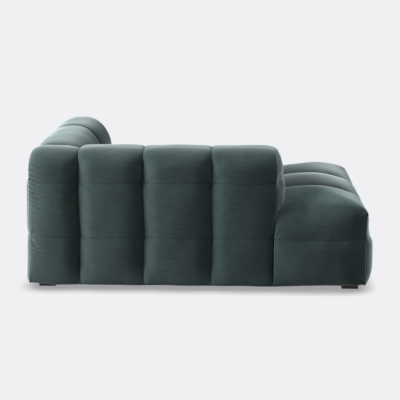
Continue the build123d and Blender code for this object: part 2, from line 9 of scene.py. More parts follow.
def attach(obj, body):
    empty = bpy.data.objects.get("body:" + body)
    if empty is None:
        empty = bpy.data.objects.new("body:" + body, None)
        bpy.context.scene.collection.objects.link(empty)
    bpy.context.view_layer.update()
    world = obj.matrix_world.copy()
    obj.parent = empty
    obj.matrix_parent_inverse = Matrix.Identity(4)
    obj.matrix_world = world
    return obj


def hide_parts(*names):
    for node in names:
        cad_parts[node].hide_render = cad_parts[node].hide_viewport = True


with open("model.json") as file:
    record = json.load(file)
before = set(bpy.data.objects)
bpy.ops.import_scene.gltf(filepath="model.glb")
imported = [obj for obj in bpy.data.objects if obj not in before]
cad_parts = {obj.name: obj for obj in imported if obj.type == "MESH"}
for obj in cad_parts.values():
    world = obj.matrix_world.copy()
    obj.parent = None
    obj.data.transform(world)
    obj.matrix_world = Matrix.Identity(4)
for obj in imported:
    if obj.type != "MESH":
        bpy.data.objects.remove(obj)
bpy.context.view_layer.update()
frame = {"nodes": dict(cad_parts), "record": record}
scene = bpy.context.scene
scene.view_settings.view_transform = "Standard"
bpy.ops.object.select_all(action="DESELECT")
print("frame loaded,", len(frame["nodes"]), "nodes")


# camera: the arm side seen from a little above, long lens
cameraSet = {
    "place": (-4.6709, -0.188, 1.5485),
    "yaw": 0.029,      # radians, towards the back
    "pitch": 0.1842,   # radians, downwards
    "lens": 81.49, "sensor": 36,   # millimetres
    "shift": (-0.03, -0.16),
}


def makeCamera(c):
    data = bpy.data.cameras.new("photoCamera")
    data.lens = c["lens"]
    data.sensor_width = c["sensor"]
    data.shift_x, data.shift_y = c["shift"]
    data.clip_end = 60
    cam = bpy.data.objects.new("photoCamera", data)
    scene.collection.objects.link(cam)
    ahead, aside, level = math.cos(c["yaw"]), math.sin(c["yaw"]), math.cos(c["pitch"])
    forward = Vector((level * ahead, level * aside, -math.sin(c["pitch"])))
    right = Vector((aside, -ahead, 0))
    up = right.cross(forward)
    turn = Matrix((right, up, -forward)).transposed().to_4x4()
    cam.matrix_world = Matrix.Translation(c["place"]) @ turn
    scene.camera = cam


makeCamera(cameraSet)
print("camera set")


# the sewing pattern shared by all upholstered pieces, in metres
pattern = {
    "hem": 0.021,
    "lowerSeam": 0.267,
    "upperSeam": 0.537,
    "top": 0.700,
    "backTop": 0.717,
    "armX": -0.500,
    "armFaceX": -0.200,
    "rowSeamX": 0.1375,
    "openSeamX": 0.475,
    "openX": 0.500,
    "rearY": 0.854,
    "cornerSeamY": 0.816,
    "rearSeamY": 0.578,
    "middleSeamY": 0.266,
    "frontSeamY": -0.062,
    "armEndY": -0.374,
    "backFaceY": 0.527,
    "frontSeatY": -0.810,
    "crevice": 0.168,
    "grid": 0.009,
}
seamHeights = (pattern["lowerSeam"], pattern["upperSeam"])
liningInset = 0.0505               # the linings keep this far behind the outer face
hemFoot = pattern["hem"] + 0.002   # and their lower edge is tucked in above the hem
hemRoll = (0.030, 0.026)           # the fabric rolls under at the hem, this far across and up
footShift = 0.010                  # low down, the arm and the seat row before it meet this much further back


def smooth(low, high, x):
    t = np.clip((np.asarray(x, float) - low) / (high - low), 0, 1)
    return t * t * (3 - 2 * t)


# 1 on a line, falling to 0 at the given reach from it
def closeTo(d, reach):
    return np.clip(1 - np.asarray(d, float) / reach, 0, 1)


# rises from nothing on a line to 1 at the given reach, in a round or a soft curve
def rise(d, reach):
    return np.sqrt(1 - closeTo(d, reach) ** 2)


def softRise(d, reach):
    return np.sin(np.clip(d / reach, 0, 1) * math.pi / 2)


# how far a sewn line draws the fabric in, at distance d from it
def drawnIn(d, reach, depth):
    return depth * (1 - rise(d, reach))


# what is left, at height z, of a shift made low down
def lowDown(z):
    return 1 - smooth(0.24, 0.40, z)


# points packed closer towards both ends, from 0 to 1
def packed(count):
    return 0.5 - 0.5 * np.cos(np.linspace(0, math.pi, count))


# length along a line of points, and the points at given lengths
def runOf(points):
    return np.concatenate([[0], np.cumsum(np.linalg.norm(np.diff(points, axis=0), axis=1))])


def pointsAt(points, run, at):
    return np.stack([np.interp(at, run, points[:, k]) for k in range(points.shape[1])], axis=1)


def resampled(points, count):
    points = np.array(points, float)
    run = runOf(points)
    return pointsAt(points, run, np.linspace(0, run[-1], count))


def arcPoints(centre, radii, start, end, count):
    angle = np.linspace(math.radians(start), math.radians(end), count)
    return [(centre[0] + radii[0] * math.cos(a), centre[1] + radii[1] * math.sin(a)) for a in angle]


def pathNormals(path):
    t = np.gradient(path, axis=0)
    t /= np.maximum(np.hypot(t[:, 0], t[:, 1]), 1e-9)[:, None]
    return np.stack([-t[:, 1], t[:, 0]], axis=1)


# a closed padded shell from an outer grid of points and the lining's two edge lines
def shellFromGrid(outer, liningA, liningB, fold=0.007):
    rows, folds = len(outer), []
    for edge, lining in ((outer[:, 0], liningA), (outer[:, -1], liningB)):
        inwards = lining - edge
        folds.append(edge + inwards * np.minimum(1, fold / np.linalg.norm(inwards, axis=1))[:, None])
    loops = np.concatenate(
        [liningA[:, None], folds[0][:, None], outer, folds[1][:, None], liningB[:, None]], axis=1)
    width = loops.shape[1]
    verts = loops.reshape(-1, 3)
    faces = []
    for r in range(rows - 1):
        for c in range(width):
            n = (c + 1) % width
            faces.append((r * width + c, r * width + n, (r + 1) * width + n, (r + 1) * width + c))
    last = (rows - 1) * width
    for c in range((width - 1) // 2):   # each open end is closed by a ladder of faces
        rung = (c, width - 1 - c, width - 2 - c, c + 1)
        rung = rung[:3] if rung[2] == rung[3] else rung
        faces.append(rung)
        faces.append(tuple(last + k for k in reversed(rung)))
    sewn = np.ones((rows, width))
    sewn[1:-1, 3:-3] = 0
    return verts, faces, sewn.ravel()


# the cross seams hold the points within this reach of them, by this weight
holdSet = {"reach": 0.0035, "weight": 0.85}


# sewn holds, for each point, how firmly the seams hold it
def addMesh(name, verts, faces, sewn):
    mesh = bpy.data.meshes.new(name)
    mesh.from_pydata(verts.tolist(), [], faces)
    mesh.validate()
    piece = bpy.data.objects.new(name, mesh)
    scene.collection.objects.link(piece)
    edit = bmesh.new()
    edit.from_mesh(mesh)
    bmesh.ops.recalc_face_normals(edit, faces=edit.faces)
    edit.to_mesh(mesh)
    edit.free()
    for face in mesh.polygons:
        face.use_smooth = True
    lines = np.abs(verts[:, 2:3] - [seamHeights]).min(axis=1) < holdSet["reach"]
    sewn = np.round(np.maximum(sewn, holdSet["weight"] * lines), 2)
    held = piece.vertex_groups.new(name="sewn")
    for weight in np.unique(sewn):
        held.add(np.where(sewn == weight)[0].tolist(), float(weight), "REPLACE")
    return piece


# seam line wander along its height: sewn lines kick sideways where they cross
wanderHeights = (0.02, 0.08, 0.19, 0.247, 0.270, 0.31, 0.39, 0.49, 0.525, 0.544, 0.58, 0.65, 0.70, 0.75)
wanderShifts = (-3.5, 1.0, 3.5, 0.5, -5.0, -2.5, 0.5, 3.5, 2.0, -1.5, -2.0, -2.5, -1.5, 0.0)


def seamWander(z):
    return np.interp(z, wanderHeights, np.array(wanderShifts) / 1000)


# section of an upright channel, outer hem first, over the top and down the seat side
def uprightPath(thick, outerRoll, innerRoll, innerEnd, top=pattern["top"]):
    hem = pattern["hem"]
    points = [(0.049, hem + 0.0015), (hemRoll[0], hem)]
    points += arcPoints((hemRoll[0], hem + hemRoll[1]), hemRoll, 270, 180, 14)
    points += arcPoints((outerRoll[0], top - outerRoll[1]), outerRoll, 180, 90, 40)
    points += arcPoints((thick - innerRoll[0], top - innerRoll[1]), innerRoll, 90, 0, 40)
    points += [(thick, innerEnd)]
    points = np.array(points, float)
    rising = points[: int(np.argmax(points[:, 1])) + 1]
    run = runOf(points)
    low = int(np.argmin(points[:, 0]))
    marks = [float(np.interp(h, rising[low:, 1], run[low:len(rising)])) for h in seamHeights]
    marks = [0.0] + marks + [run[-1]]
    at = [np.zeros(1)]
    for a, b in zip(marks, marks[1:]):
        at.append(np.linspace(a, b, max(int(round((b - a) / pattern["grid"])), 4) + 1)[1:])
    at = np.concatenate(at)
    beside = [m + d for m in marks[1:-1] for d in (-0.003, 0.003)]   # close rows keep a sewn line crisp
    return pointsAt(points, run, np.sort(np.concatenate([at, beside])))


# how the sewn cross lines draw an upright channel in: the line itself, its pull and a slow sag around it
seamSet = {"line": 0.0024, "lineWidth": 0.006, "pull": 0.0018, "pullEnds": 0.0050, "pullReach": 0.026,
           "sag": 0.0040, "sagReach": 0.12}


# how deep the fabric sits at each point of an upright channel
def uprightInset(piece, normals, v, half):
    path, low, high = piece["path"], piece["low"], piece["high"]
    z = path[:, 1][:, None]
    topShare = smooth(0.25, 0.95, normals[:, 1])[:, None]
    outSide = (smooth(0.0, 0.5, -normals[:, 0]) * (1 - smooth(0.2, 0.6, np.abs(normals[:, 1]))))[:, None]
    tight = 0.30 + 0.70 * smooth(0.03, 0.15, z)   # pulled straight again at the hem
    tight = tight * (1 - 0.9 * smooth(0.2, 0.9, -normals[:, 1]))[:, None]
    inset = 0
    for side, edge in ((-1, low), (1, high)):
        on = (v * side > 0)[None, :]
        dist = (1 - np.abs(v))[None, :] * half
        crown = np.abs(v)[None, :] ** 2.2
        deep = edge["groove"]
        if "free" in edge:   # above this height the seam is a corner, not a groove
            deep = edge["groove"] + (edge["freeGroove"] - edge["groove"]) * smooth(*edge["free"], z)
        face = edge["crown"] * crown + drawnIn(dist, edge["reach"], 1) * deep
        if "inner" in edge:   # on the seat side the edge runs into its neighbour
            seatSide = smooth(0.0, 0.5, normals[:, 0])[:, None]
            face = face * (1 - seatSide * (1 - edge["inner"]))
        over = edge["topCrown"] * crown + drawnIn(dist, edge["topReach"], edge["topGroove"])
        over = over + drawnIn(dist, edge.get("dropReach", 0.09), edge.get("drop", 0))
        inset = inset + on * (face * (1 - topShare) + over * topShare) * tight
    s = seamSet
    pull = (s["pull"] + s["pullEnds"] * np.abs(v) ** 4)[None, :]
    for height in seamHeights:
        dist = np.abs(z - height)
        sewn = drawnIn(dist, s["pullReach"], 1) * pull + s["line"] * closeTo(dist, s["lineWidth"])
        inset = inset + outSide * (sewn + s["sag"] * closeTo(dist, s["sagReach"]) ** 2)
    if low.get("pinEnd"):   # the path's end is sewn to the next piece
        inset = inset * (1 - smooth(low["pinEnd"], path[-1, 0], path[:, 0]) * (path[:, 1] > 0.4))[:, None]
    return inset


# edges of a channel: a sewn groove between two channels, or a sewn outer corner
def grooveEdge(**change):
    edge = {"crown": 0.018, "groove": 0.028, "reach": 0.080,
            "topCrown": 0.004, "topGroove": 0.009, "topReach": 0.030}
    edge.update(change)
    return edge


def cornerEdge(**change):
    edge = {"crown": 0.018, "groove": 0.005, "reach": 0.016,
            "topCrown": 0.004, "topGroove": 0.004, "topReach": 0.014, "drop": 0.034, "dropReach": 0.085}
    edge.update(change)
    return edge


def uprightChannel(piece, place):
    path = piece["path"]
    normals = pathNormals(path)
    start, end = piece["span"]
    width = abs(end - start)
    cols = max(int(round(width / pattern["grid"])), 8) + 1
    v = 2 * packed(cols) - 1
    inset = uprightInset(piece, normals, v, width / 2)
    u, z = (path[:, k, None] - normals[:, k, None] * inset for k in (0, 1))
    share = (v[None, :] + 1) / 2
    if "under" in piece:
        z = piece["under"](start + (end - start) * share, u, z)
    drift = seamWander(path[:, 1])[:, None]
    edgeDrift = piece["wander"][0] * (1 - share) ** 3 + piece["wander"][1] * share ** 3
    run = start + (end - start) * share + drift * edgeDrift
    if "topShift" in piece:
        run = run + piece["topShift"] * (1 - share) * smooth(0.25, 0.95, normals[:, 1])[:, None]
    if "lean" in piece:   # the sewn outer corner stands a little further out towards the hem
        run = run + share ** 4 * (piece["lean"] * (1 - 1.6 * smooth(0.02, 0.66, path[:, 1])))[:, None]
    if "footShift" in piece:
        run = run + piece["footShift"] * (1 - share) ** 4 * lowDown(path[:, 1])[:, None]
    outer = place(run, u, z)
    lining = resampled(piece["lining"], len(path))   # keeps clear of the frame inside
    gap = 0.0004 * np.sign(end - start)
    linings = [place(at, *lining.T) for at in (start + gap, end - gap)]
    verts, faces, sewn = shellFromGrid(outer, *linings)
    return verts, faces, sewn, {"low": outer[:, 0], "high": outer[:, -1]}


def armPlace(run, u, z):
    return np.stack(np.broadcast_arrays(pattern["armX"] + u, run, z), axis=-1)


def backPlace(run, u, z):
    return np.stack(np.broadcast_arrays(run, pattern["rearY"] - u, z), axis=-1)


panelSet = {
    "depth": 0.012,     # thickness behind the edge lines
    "rim": 0.006,       # width of the rim that turns back from them
    "narrow": 0.04,     # share by which the inner face is smaller
    "flatTop": 0.012,   # a channel's end line counts as its top within this of its peak
}


# a swelling end panel inside four edge lines, each a line of points; outwards is the way it swells
def endPanel(left, top, right, bottom, outwards, swell):
    nV, nH = len(left), len(top)
    s = np.linspace(0, 1, nH)[None, :, None]
    t = np.linspace(0, 1, nV)[:, None, None]
    flat = ((1 - s) * left[:, None] + s * right[:, None] + (1 - t) * bottom[None] + t * top[None]
            - (1 - s) * (1 - t) * left[0] - s * (1 - t) * right[0] - (1 - s) * t * left[-1] - s * t * right[-1])
    edges = (flat[:, :1], flat[:, -1:], flat[:1], flat[-1:])   # left, right, bottom, top
    height = swell(flat, *(np.linalg.norm(flat - edge, axis=2) for edge in edges))
    outwards = np.array(outwards, float)
    front = flat + height[:, :, None] * outwards
    ring = [(0, c) for c in range(nH)] + [(r, nH - 1) for r in range(1, nV)]
    ring += [(nV - 1, c) for c in range(nH - 2, -1, -1)] + [(r, 0) for r in range(nV - 2, 0, -1)]
    cells = [(r * nH + c, r * nH + c + 1, (r + 1) * nH + c + 1, (r + 1) * nH + c)
             for r in range(nV - 1) for c in range(nH - 1)]
    middle = flat.reshape(-1, 3).mean(axis=0)
    behind = flat + (middle - flat) * panelSet["narrow"] - outwards * panelSet["depth"]
    rim = np.array([flat[r, c] - outwards * panelSet["rim"] for r, c in ring])
    verts = np.concatenate([front.reshape(-1, 3), rim, behind.reshape(-1, 3)])
    firstRim, firstBack = nV * nH, nV * nH + len(ring)
    faces = cells + [tuple(firstBack + k for k in reversed(cell)) for cell in cells]
    for k, (r, c) in enumerate(ring):
        n = (k + 1) % len(ring)
        here, there = r * nH + c, ring[n][0] * nH + ring[n][1]
        faces.append((here, firstRim + k, firstRim + n, there))
        faces.append((firstRim + k, firstBack + here, firstBack + there, firstRim + n))
    sewn = np.ones(len(verts))
    sewn[: nV * nH].reshape(nV, nH)[1:-1, 1:-1] = 0
    return verts, faces, sewn


def joined(parts):
    verts, faces, sewn, offset = [], [], [], 0
    for v, f, held in parts:
        verts.append(np.asarray(v))
        sewn.append(held)
        faces += [tuple(i + offset for i in face) for face in f]
        offset += len(v)
    return np.concatenate(verts), faces, np.concatenate(sewn)


# splits a channel's end line into the left, top and right edges of its end panel
def panelEdges(line, path, foot, tuck):
    z = path[:, 1]
    peak = int(np.argmax(z))
    startRow = int(np.argmax(z[:peak] >= foot)) if foot > z[0] else int(np.argmin(z[:peak]))
    flatRows = np.where(z > z.max() - panelSet["flatTop"])[0]
    leftTop, rightTop = flatRows[0], flatRows[-1]
    left = line[startRow:leftTop + 1]
    top = line[leftTop:rightTop + 1]
    rightDown = line[rightTop:][path[rightTop:, 1] > foot]
    low = rightDown[-1].copy()
    low[2] = left[0][2]
    ends = [low]
    if tuck is not None:   # under the seat's height the edge closes against the seat
        low[1] = tuck
        ends = [(low[0], tuck, rightDown[-1][2] - 0.012), low]
    right = np.concatenate([rightDown, ends])[::-1]
    nV = max(int(round((pattern["top"] - foot) / pattern["grid"])), 8) + 1
    nH = max(int(round(np.linalg.norm(top[-1] - top[0]) / pattern["grid"])), 8) + 1
    left, right, top = resampled(left, nV), resampled(right, nV), resampled(top, nH)
    bottom = np.linspace(left[0], right[0], nH)
    return left, top, right, bottom


# the panel that closes a channel's end
def closedEnd(line, path, foot, outwards, swell, tuck=None):
    return endPanel(*panelEdges(line, path, foot, tuck), outwards, swell)


# swell of an upright end panel: lobes between the sewn cross lines
def uprightSwell(crown, edge, lobes, footReach, slack=0.0):
    def swell(flat, dLeft, dRight, dBottom, dTop):
        z = flat[:, :, 2]
        sides = softRise(dLeft, edge) * softRise(dRight, edge)
        sides = sides * softRise(dTop, edge * 1.2) * softRise(dBottom, footReach)
        v = np.clip(np.abs(dLeft - dRight) / np.maximum(dLeft + dRight, 1e-6), 0, 1)
        height = crown * sides * (1 - slack * smooth(-0.02, 0.05, z - pattern["upperSeam"]))
        for level, depth in lobes:
            dist = np.abs(z - level)
            pulled = drawnIn(dist, 0.045, depth) + 0.3 * depth * closeTo(dist, 0.12) ** 2
            height = height - pulled * (0.55 + 0.45 * v ** 2) * np.minimum(1, sides * 3)
        return height
    return swell


def pointsOf(mesh, what="co"):
    flat = np.empty(len(mesh.vertices) * 3)
    mesh.vertices.foreach_get(what, flat)
    return flat.reshape(-1, 3)


# finishing touches on a sewn piece: an uneven filling, gathers along its seams, creases at the
# crossings of the seams, and a hem that lifts towards both ends, most at the long sides
touchSet = {
    "uneven": 0.0012,
    "creases": 7, "creaseSize": 0.0022, "creaseReach": 0.028,
    "rearLift": 0.008, "rearFrom": (0.68, 0.85),      # the hem's lift, and where it grows
    "frontLift": 0.009, "frontFrom": (0.35, 0.84),
    "sideFrom": (0.42, 0.47), "liftTop": (0.02, 0.17),
}
crossings = [(pattern[a], height) for height in seamHeights
             for a in ("cornerSeamY", "rearSeamY", "middleSeamY", "frontSeamY", "armEndY")]


def gathered(g, z, away, facing):
    turn = z * 2 * math.pi / g["pitch"]
    wave = np.sin(turn + g["slant"] * away + 1.8 * np.sin(z * 23.0 + g["at"] * 9))
    wave = wave + 0.5 * np.sin(turn / 0.61 - g["slant"] * 0.6 * away + z * 40)
    fade = np.exp(-away / g["decay"]) * smooth(0, 0.006, away)
    patch = 0.55 + 0.45 * np.sin(z * 14 + g["at"] * 31)
    ends = smooth(g["from"], g["from"] + 0.05, z) * (1 - smooth(g["to"] - 0.05, g["to"], z))
    return g["size"] * wave * fade * patch * facing * ends


def roughen(piece, s, gathers=()):
    mesh = piece.data
    co, no = pointsOf(mesh), pointsOf(mesh, "normal")
    x, y, z = co.T
    push = s["uneven"] / 2 * (
        np.sin(31 * y + 17 * z + 3 * x) + np.sin(23 * z - 27 * x + 1.7) + np.sin(37 * x + 19 * y + 0.6))
    for g in gathers:
        facing = smooth(0.3, 0.8, no @ np.array(g["faces"], float))
        push += gathered(g, z, np.abs(co[:, g["axis"]] - g["at"]), facing)
    facing = smooth(0.3, 0.8, -no[:, 0])
    for atY, atZ in crossings:
        far = np.hypot(y - atY, z - atZ)
        fan = np.sin(s["creases"] * np.arctan2(z - atZ, y - atY) + 9 * atY)
        push += s["creaseSize"] * fan * np.exp(-far / s["creaseReach"]) * smooth(0, 0.014, far) * facing
    co += no * push[:, None]
    raised = s["rearLift"] * smooth(*s["rearFrom"], y) + s["frontLift"] * smooth(*s["frontFrom"], -y)
    raised = raised * (0.5 + 0.5 * smooth(*s["sideFrom"], np.abs(x)))
    co[:, 2] += raised * (1 - smooth(*s["liftTop"], co[:, 2]))
    mesh.vertices.foreach_set("co", co.ravel())
    mesh.update()


# the filling presses on the sewn fabric: all pads in one run, held at their seams, each move capped;
# the six upright channels, with edges of no length where a fold meets the lining, come out unmoved
inflateSet = {"pressure": 4.0, "frames": 20, "slack": 0.018, "seatSlack": 0.002, "start": 0.003, "most": 0.007}


def inflate(pieces, s):
    before = {}
    for piece in pieces:
        mesh = piece.data
        rest = pointsOf(mesh)
        free = 1 - np.array([v.groups[0].weight for v in mesh.vertices])
        before[piece.name] = rest
        mesh.vertices.foreach_set("co", (rest - pointsOf(mesh, "normal") * (s["start"] * free)[:, None]).ravel())
        mesh.update()
        cloth = piece.modifiers.new("filling", "CLOTH")
        fabric = cloth.settings
        fabric.quality = 4
        fabric.mass = 0.3
        fabric.tension_stiffness = fabric.compression_stiffness = 15
        fabric.shear_stiffness = 5
        fabric.bending_stiffness = 0.2
        fabric.use_pressure = True
        fabric.uniform_pressure_force = s["pressure"]
        fabric.shrink_min = -s["seatSlack" if piece.name.startswith("seat") else "slack"]
        fabric.vertex_group_mass = "sewn"
        fabric.effector_weights.gravity = 0
        cloth.collision_settings.use_collision = False
        cloth.point_cache.frame_start, cloth.point_cache.frame_end = 1, s["frames"]
    for number in range(1, s["frames"] + 1):
        scene.frame_set(number)
    graph = bpy.context.evaluated_depsgraph_get()
    for piece in pieces:
        pressed = pointsOf(piece.evaluated_get(graph).data)
        step = np.linalg.norm(pressed - pointsOf(piece.data), axis=1) * 1000
        print("filling moved", piece.name, "by at most %.1f mm, mean %.1f mm" % (step.max(), step.mean()))
        moved = pressed - before[piece.name]
        far = np.linalg.norm(moved, axis=1)
        moved *= np.minimum(1, s["most"] / np.maximum(far, 1e-9))[:, None]
        piece.modifiers.clear()
        piece.data.vertices.foreach_set("co", (before[piece.name] + moved).ravel())
        piece.data.update()
    scene.frame_set(1)


def subdivided(piece):
    bpy.ops.object.select_all(action="DESELECT")
    bpy.context.view_layer.objects.active = piece
    piece.select_set(True)
    mod = piece.modifiers.new("soft", "SUBSURF")
    mod.levels = mod.render_levels = 1
    bpy.ops.object.modifier_apply(modifier=mod.name)
    piece.select_set(False)


def finishPad(piece, nodes, material):
    piece.data.materials.append(material)
    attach(piece, "root")
    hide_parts(*nodes)


# velvet: dark teal pile, brushed lighter in places at random, with a painted sheen where a face is seen edge-on and
# painted light and shade by the way each face turns and which part it is on
velvetSet = {
    "deep": (0.029, 0.049, 0.049, 1),
    "light": (0.056, 0.088, 0.088, 1),
    "paintedSheen": (0.60, 0.72, 0.72, 1),
    "sheen": 0.85, "sheenRough": 0.48,
    "sheenTint": (0.81, 0.96, 0.96, 1),
    "rough": 0.9,
    "graze": 0.86,                 # the painted sheen shows where a face is seen more edge-on than this
    "lit": 1.48, "shaded": 0.78,   # painted light on faces turned towards the lamps on the left, painted shade on faces turned away
    "nearRow": 2.2, "farRows": 0.56, "inner": 0.42, "ahead": 2.2,   # painted light on the seat's near row and front, painted shade on its far rows and the back's inner roll
    "stitch": 0.34,                # how much the seam lines darken
    "brushScale": 7.0, "streakScale": 130.0, "streakShare": 0.42,
    "pileScale": 900.0, "pileBump": 0.25, "pileHeight": 0.0008,
    "specular": 0.15,
}
# where the parts with painted light and shade, and the seam lines, begin and end, in metres
paintedLightAndSeamSet = {
    "seatTop": (0.50, 0.53), "nearRow": (-0.23, -0.17), "front": (-0.79, -0.74),
    "backFace": (0.50, 0.54), "backStart": (-0.37, -0.33),
    "stitch": (0.001, 0.0055),
    "armSide": (-0.44, -0.40), "openSide": (0.43, 0.46), "beforeArm": (-0.374, -0.360), "rear": (0.76, 0.80),
}


def newMaterial(name):
    mat = bpy.data.materials.new(name)
    mat.use_nodes = True
    nodes, links = mat.node_tree.nodes, mat.node_tree.links
    return mat, nodes, links, nodes["Principled BSDF"]


def scaled(nodes, links, where, scale):
    turn = nodes.new("ShaderNodeMapping")
    turn.inputs["Scale"].default_value = scale
    links.new(where.outputs["Object"], turn.inputs["Vector"])
    return turn.outputs["Vector"]


def noise(nodes, links, vector, scale, detail=3.0, rough=0.5):
    tex = nodes.new("ShaderNodeTexNoise")
    tex.inputs["Scale"].default_value = scale
    tex.inputs["Detail"].default_value = detail
    tex.inputs["Roughness"].default_value = rough
    links.new(vector, tex.inputs["Vector"])
    return tex.outputs["Fac"]


def ramp(nodes, links, fac, stops):
    node = nodes.new("ShaderNodeValToRGB")
    band = node.color_ramp
    while len(band.elements) < len(stops):
        band.elements.new(0.5)
    for element, (position, colour) in zip(band.elements, stops):
        element.position = position
        element.color = colour
    links.new(fac, node.inputs["Fac"])
    return node.outputs["Color"]


def maths(nodes, links, operation, a, b):
    node = nodes.new("ShaderNodeMath")
    node.operation = operation
    for socket, value in zip(node.inputs, (a, b)):
        if isinstance(value, (int, float)):
            socket.default_value = value
        else:
            links.new(value, socket)
    return node.outputs[0]


def spread(nodes, links, value, low, high, start, end):
    node = nodes.new("ShaderNodeMapRange")
    node.interpolation_type = "SMOOTHSTEP"
    for socket, amount in (("From Min", low), ("From Max", high), ("To Min", start), ("To Max", end)):
        node.inputs[socket].default_value = amount
    links.new(value, node.inputs["Value"])
    return node.outputs["Result"]


def bumped(nodes, links, shader, height, strength, distance):
    bump = nodes.new("ShaderNodeBump")
    bump.inputs["Strength"].default_value = strength
    bump.inputs["Distance"].default_value = distance
    links.new(height, bump.inputs["Height"])
    links.new(bump.outputs["Normal"], shader.inputs["Normal"])


# painted light and shade at each place, from the way that the face turns and which part it is on, times the dark
# seam lines
def paintedLightAndSeams(nodes, links, where, s, b):
    def band(value, *limits):
        return spread(nodes, links, value, *limits)

    def times(a, b):
        return maths(nodes, links, "MULTIPLY", a, b)

    turned = nodes.new("ShaderNodeSeparateXYZ")
    links.new(nodes.new("ShaderNodeNewGeometry").outputs["Normal"], turned.inputs[0])
    place = nodes.new("ShaderNodeSeparateXYZ")
    links.new(where.outputs["Object"], place.inputs[0])
    turnX, turnY, turnZ = turned.outputs
    x, y, z = place.outputs
    flank = times(turnX, turnY)
    # painted light on faces turned towards the lamps on the left, painted shade on faces turned away
    lean = times(band(flank, -0.48, 0.0, s["lit"], 1.0), band(flank, 0.0, 0.48, 1.0, s["shaded"]))
    # painted light on the seat's near row and front, painted shade on its far rows and the back's inner roll
    seatTop = times(band(turnZ, 0.50, 0.92, 0, 1), band(z, *b["seatTop"], 1, 0))
    row = times(seatTop, band(x, *b["nearRow"], -1, 1))
    inner = times(turnY, times(band(y, *b["backFace"], 0, 1), band(x, *b["backStart"], 0, 1)))
    ahead = times(turnY, band(y, *b["front"], 1, 0))
    # the cross seams show as fine dark lines on the outer sides
    off = [maths(nodes, links, "ABSOLUTE", maths(nodes, links, "SUBTRACT", z, height), 0) for height in seamHeights]
    stitch = band(maths(nodes, links, "MINIMUM", *off), *b["stitch"], s["stitch"], 0)
    outer = band(x, *b["armSide"], 1, 0)
    for side in (band(x, *b["openSide"], 0, 1), band(y, *b["beforeArm"], 1, 0), band(y, *b["rear"], 0, 1)):
        outer = maths(nodes, links, "MAXIMUM", outer, side)
    # painted shade on the far rows and the back's inner roll, the dark seam lines, and painted light on the near row
    # and the seat's front
    for part in (band(row, 0, 1, 1.0, s["farRows"]), band(inner, -0.5, 0.06, s["inner"], 1.0),
                 band(times(stitch, outer), 0, 1, 1, 0), band(row, -1, 0, s["nearRow"], 1.0),
                 band(ahead, -0.9, -0.3, s["ahead"], 1.0)):
        lean = times(lean, part)
    return lean


def makeVelvet(s):
    mat, nodes, links, shader = newMaterial("velvet")
    where = nodes.new("ShaderNodeTexCoord")
    brushed = noise(nodes, links, scaled(nodes, links, where, (1, 1.3, 0.8)), s["brushScale"], 5.0, 0.6)
    streaks = noise(nodes, links, scaled(nodes, links, where, (1, 0.16, 1)), s["streakScale"], 3.0, 0.6)
    blend = nodes.new("ShaderNodeMix")
    blend.inputs["Factor"].default_value = s["streakShare"]
    links.new(brushed, blend.inputs[2])
    links.new(streaks, blend.inputs[3])
    # the pile's random tone, times painted light and shade and the dark seam lines
    pileToneWithPaintedLight = nodes.new("ShaderNodeVectorMath")
    pileToneWithPaintedLight.operation = "SCALE"
    links.new(ramp(nodes, links, blend.outputs[0], ((0.35, s["deep"]), (0.66, s["light"]))), pileToneWithPaintedLight.inputs[0])
    links.new(paintedLightAndSeams(nodes, links, where, s, paintedLightAndSeamSet), pileToneWithPaintedLight.inputs["Scale"])
    # painted sheen: the pile turns pale where a face is seen edge-on
    edge = nodes.new("ShaderNodeLayerWeight")
    edge.inputs["Blend"].default_value = 0.5
    graze = ramp(nodes, links, edge.outputs["Facing"], ((s["graze"], (0, 0, 0, 1)), (1.0, (1, 1, 1, 1))))
    tone = nodes.new("ShaderNodeMix")
    tone.data_type = "RGBA"
    links.new(graze, tone.inputs["Factor"])
    links.new(pileToneWithPaintedLight.outputs[0], tone.inputs[6])
    tone.inputs[7].default_value = s["paintedSheen"]
    links.new(tone.outputs[2], shader.inputs["Base Color"])
    shader.inputs["Roughness"].default_value = s["rough"]
    shader.inputs["Specular IOR Level"].default_value = s["specular"]
    shader.inputs["Sheen Weight"].default_value = s["sheen"]
    shader.inputs["Sheen Roughness"].default_value = s["sheenRough"]
    shader.inputs["Sheen Tint"].default_value = s["sheenTint"]
    pile = noise(nodes, links, where.outputs["Object"], s["pileScale"], 2.0)
    bumped(nodes, links, shader, pile, s["pileBump"], s["pileHeight"])
    return mat


velvet = makeVelvet(velvetSet)


# arm: four upright channels, with swelling panels at the rear corner and the front end
armThick = pattern["armFaceX"] - pattern["armX"]
liningFoot, liningTop = (liningInset, hemFoot), 0.6355
armLining = [liningFoot, (liningInset, liningTop), (0.2315, liningTop), (0.2315, pattern["crevice"])]
armPath = uprightPath(armThick, (0.105, 0.100), (0.150, 0.150), pattern["crevice"])
cornerPath = uprightPath(armThick, (0.105, 0.100), (0.140, 0.042), 0.650)
backThick = pattern["rearY"] - pattern["backFaceY"]
backPath = uprightPath(backThick, (0.132, 0.145), (0.165, 0.180), pattern["crevice"], pattern["backTop"])


# behind its crest the corner's top slopes down, under the back's first channel
slopeSet = {"crest": 0.697, "from": 0.145, "fall": 0.37, "lowest": 0.640, "under": 0.005, "blend": (0.12, 0.165)}


def underBack(run, u, z):
    s = slopeSet
    over = backPath[np.argmin(backPath[:, 0]):]
    over = over[over[:, 1] > 0.4]
    roll = np.interp(pattern["rearY"] - run, over[:, 0], over[:, 1])
    slope = np.minimum(s["crest"], roll - s["under"]) - s["fall"] * np.maximum(u - s["from"], 0)
    slope = np.maximum(slope, s["lowest"])
    return z + (np.minimum(z, slope) - z) * smooth(*s["blend"], u) * (z > 0.4)


